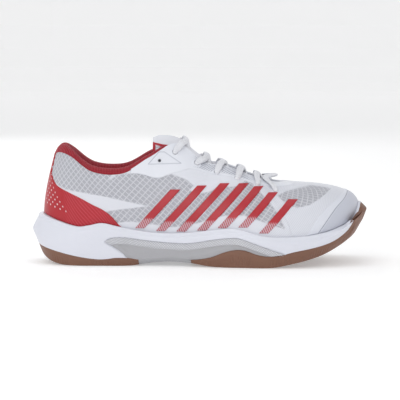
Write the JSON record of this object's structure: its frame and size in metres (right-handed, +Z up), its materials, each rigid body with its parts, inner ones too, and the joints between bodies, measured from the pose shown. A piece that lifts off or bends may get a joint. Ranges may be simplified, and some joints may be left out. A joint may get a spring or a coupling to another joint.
{
  "type": "indoor court shoe",
  "caption": "Right low-cut lace-up sports shoe for indoor courts: gum outsole, foam midsole, mesh upper with red welded bars, padded red collar and a hinged tongue.",
  "frame": {"origin": "middle of the shoe's footprint box, on the floor plane", "axes": "+X from heel to toe, +Y to the inner (medial) side, +Z up"},
  "size_m": [0.2848, 0.11, 0.1066],
  "materials": {
    "gum_rubber": "matte translucent gum rubber",
    "shank_grey": "moulded, fine dotted texture",
    "foam_white": "painted moulded foam, satin",
    "cushion_gel": "soft gel",
    "board_white": "stiff nonwoven board",
    "insole_fabric": "brushed knit on foam",
    "mesh_white": "diamond mesh textile",
    "film_white": "thin welded film, soft sheen",
    "film_red": "thin welded film, soft sheen",
    "counter_plastic": "moulded stiffener",
    "pad_foam": "open-cell foam",
    "lining_red": "ribbed knit lining",
    "tongue_mesh": "padded mesh",
    "lace_white": "flat woven lace",
    "aglet_clear": "clear sleeve over the lace end"
  },
  "bodies": {
    "shoe": {"outsole_forefoot": "gum_rubber", "outsole_heel": "gum_rubber", "midfoot_shank": "shank_grey", "midsole": "foam_white", "heel_cushion_insert": "cushion_gel", "lasting_board": "board_white", "sockliner": "insole_fabric", "vamp": "mesh_white", "quarter_lateral": "mesh_white", "quarter_medial": "mesh_white", "eyestay_lateral": "film_white", "eyestay_medial": "film_white", "toe_guard": "film_white", "heel_wrap": "film_red", "heel_counter": "counter_plastic", "collar_foam": "pad_foam", "collar_lining": "lining_red", "lace": "lace_white", "aglet_lateral": "aglet_clear", "aglet_medial": "aglet_clear", "side_bar_lateral_1": "film_red", "side_bar_lateral_2": "film_red", "side_bar_lateral_3": "film_red", "side_bar_lateral_4": "film_red", "side_bar_lateral_5": "film_red", "side_bar_lateral_6": "film_red", "side_bar_lateral_7": "film_red", "side_bar_medial_1": "film_red", "side_bar_medial_2": "film_red", "side_bar_medial_3": "film_red", "side_bar_medial_4": "film_red", "side_bar_medial_5": "film_red", "side_bar_medial_6": "film_red", "side_bar_medial_7": "film_red"},
    "tongue": {"tongue_face": "tongue_mesh", "tongue_foam": "pad_foam", "tongue_lining": "lining_red"}
  },
  "joints": [
    {"name": "tongue_hinge", "type": "hinge", "parent": "shoe", "child": "tongue", "pos_m": [0.06535, 0, 0.06309], "axis": [0, 1, 0], "range_deg": [-8, 0], "stiffness_Nm_per_rad": 0.6, "springref_deg": 2.86}
  ]
}
